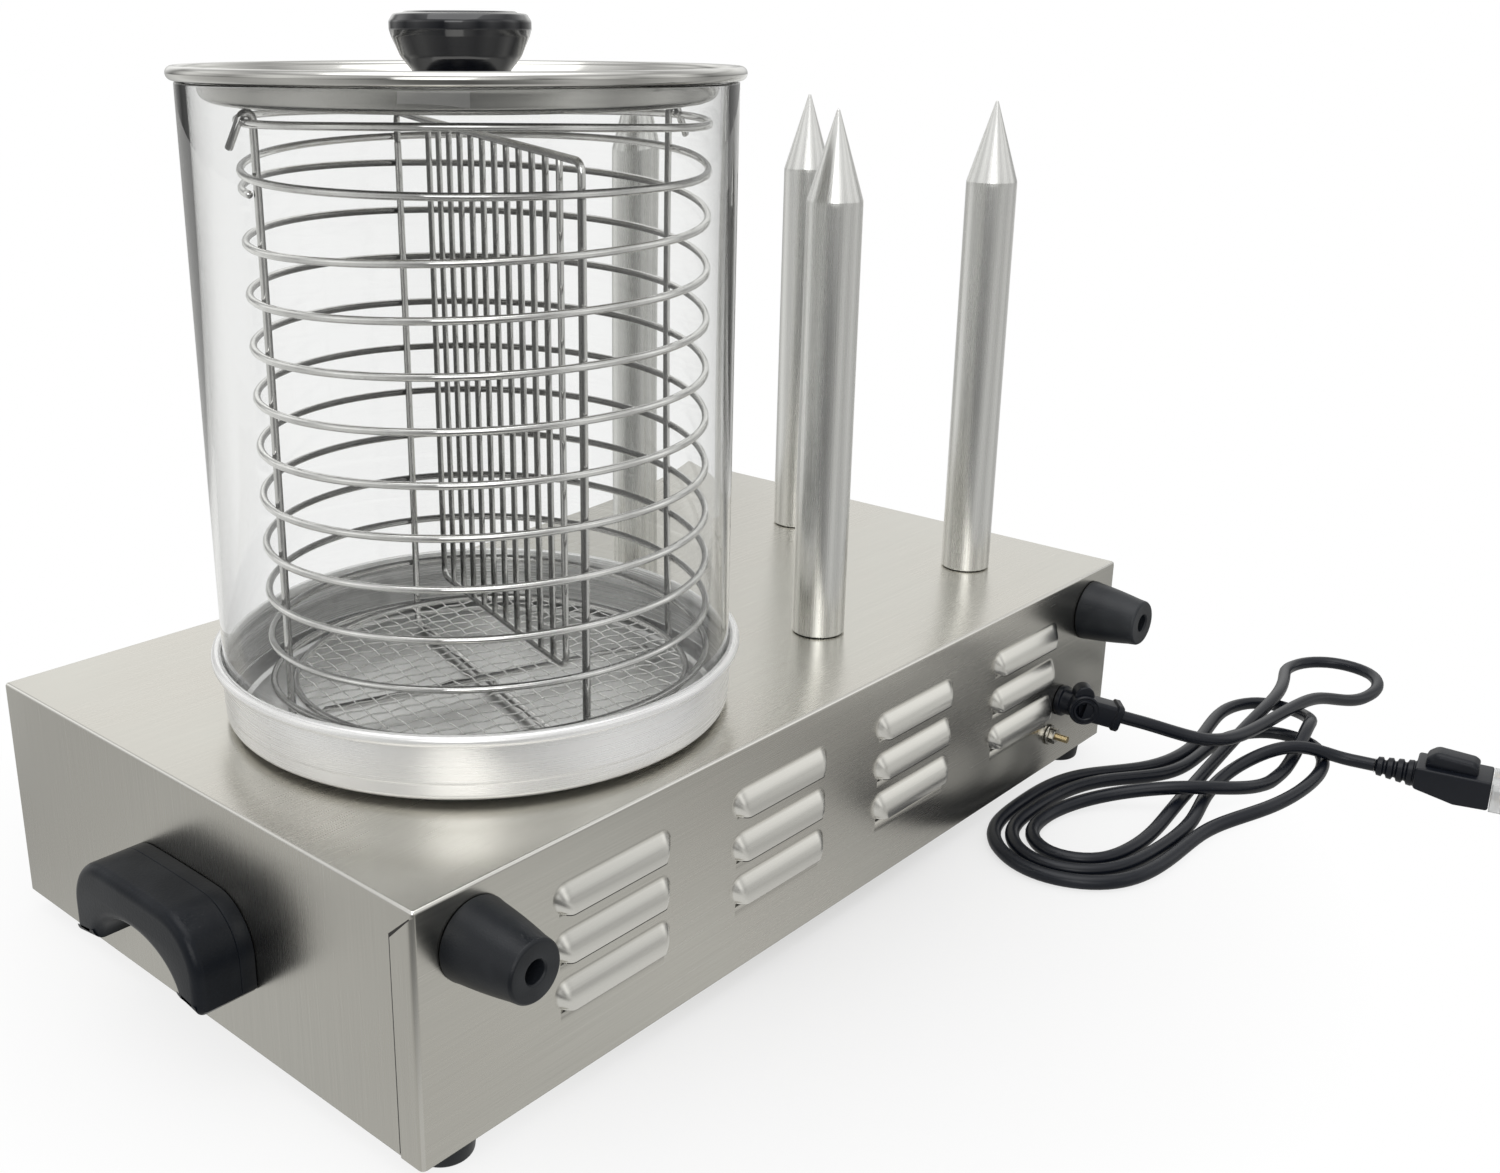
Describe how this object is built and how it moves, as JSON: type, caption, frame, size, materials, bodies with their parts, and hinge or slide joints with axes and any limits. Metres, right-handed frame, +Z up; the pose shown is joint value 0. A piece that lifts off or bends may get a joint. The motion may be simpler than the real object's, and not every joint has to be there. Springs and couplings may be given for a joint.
{
  "type": "hot dog spike machine",
  "caption": "Countertop hot dog warmer: steel housing with a water pan, glass cylinder, wire basket and lid, beside upright heated bun spikes.",
  "frame": {"origin": "under the middle of the machine without its mains lead, on the plane that its feet stand on", "axes": "+X to the water pan's end, +Y to the rear with the louvres and mains lead, +Z up; the controls face -Y"},
  "size_m": [0.747, 0.5185, 0.3995],
  "materials": {
    "brushed_steel": "brushed",
    "satin_aluminium": "satin",
    "chromed_wire": "polished",
    "polished_steel": "polished",
    "clear_glass": "clear",
    "black_plastic": "satin",
    "glossy_black_plastic": "glossy",
    "black_rubber": "matte",
    "cord_sheath": "satin",
    "red_rocker": "glossy",
    "brass": "plain",
    "dark_gasket": "matte",
    "terminal_plastic": "plain",
    "clear_plastic": "clear"
  },
  "bodies": {
    "housing": {"base_plate": "brushed_steel", "bumper_left": "black_rubber", "bumper_right": "black_rubber", "clamp_nut": "brushed_steel", "cord_gland": "black_plastic", "earth_pin": "brass", "earth_stud": "brass", "foot_1": "black_rubber", "foot_2": "black_rubber", "foot_3": "black_rubber", "foot_4": "black_rubber", "handle_left": "black_plastic", "handle_right": "black_plastic", "heater_clamp": "brushed_steel", "housing_cover": "brushed_steel", "live_pin": "brass", "neutral_pin": "brass", "pan_gasket": "dark_gasket", "pan_heater": "satin_aluminium", "pin_cover": "clear_plastic", "plug": "black_plastic", "plug_relief": "black_rubber", "power_cord": "cord_sheath", "spike_1": "satin_aluminium", "spike_2": "satin_aluminium", "spike_3": "satin_aluminium", "spike_4": "satin_aluminium", "spike_heater_1": "brushed_steel", "spike_heater_2": "brushed_steel", "spike_heater_3": "brushed_steel", "spike_heater_4": "brushed_steel", "spike_nut_1": "brushed_steel", "spike_nut_2": "brushed_steel", "spike_nut_3": "brushed_steel", "spike_nut_4": "brushed_steel", "switch_body_1": "black_plastic", "switch_body_2": "black_plastic", "terminal_block": "terminal_plastic", "thermostat_1": "terminal_plastic", "thermostat_2": "terminal_plastic", "water_pan": "satin_aluminium"},
    "glass": {"glass_cylinder": "clear_glass"},
    "basket": {"basket_coil": "chromed_wire", "basket_hook_wire": "chromed_wire", "basket_plain_wire": "chromed_wire", "basket_second_ring": "chromed_wire", "basket_top_ring": "chromed_wire", "tray_net": "chromed_wire", "tray_rim": "chromed_wire"},
    "divider": {"divider": "chromed_wire"},
    "lid": {"lid": "polished_steel", "lid_knob": "glossy_black_plastic", "lid_screw": "brushed_steel"},
    "knob_1": {"thermostat_knob_1": "black_plastic"},
    "knob_2": {"thermostat_knob_2": "black_plastic"},
    "rocker_1": {"switch_rocker_1": "red_rocker"},
    "rocker_2": {"switch_rocker_2": "red_rocker"}
  },
  "joints": [
    {"name": "glass_lift", "type": "slide", "parent": "housing", "child": "glass", "axis": [0, 0, 1], "range_m": [0, 0.04]},
    {"name": "basket_lift", "type": "slide", "parent": "glass", "child": "basket", "axis": [0, 0, 1], "range_m": [0, 0.26]},
    {"name": "divider_lift", "type": "slide", "parent": "basket", "child": "divider", "axis": [0, 0, 1], "range_m": [0, 0.21]},
    {"name": "lid_lift", "type": "slide", "parent": "divider", "child": "lid", "axis": [0, 0, 1], "range_m": [0, 0.08]},
    {"name": "thermostat_turn_1", "type": "hinge", "parent": "housing", "child": "knob_1", "pos_m": [-0.07, -0.14625, 0.062], "axis": [0, 1, 0], "range_deg": [0, 270]},
    {"name": "thermostat_turn_2", "type": "hinge", "parent": "housing", "child": "knob_2", "pos_m": [0.07, -0.14625, 0.062], "axis": [0, 1, 0], "range_deg": [0, 270]},
    {"name": "switch_press_1", "type": "hinge", "parent": "housing", "child": "rocker_1", "pos_m": [-0.135, -0.14755, 0.062], "axis": [1, 0, 0], "range_deg": [-20, 0]},
    {"name": "switch_press_2", "type": "hinge", "parent": "housing", "child": "rocker_2", "pos_m": [0.135, -0.14755, 0.062], "axis": [1, 0, 0], "range_deg": [-20, 0]}
  ]
}
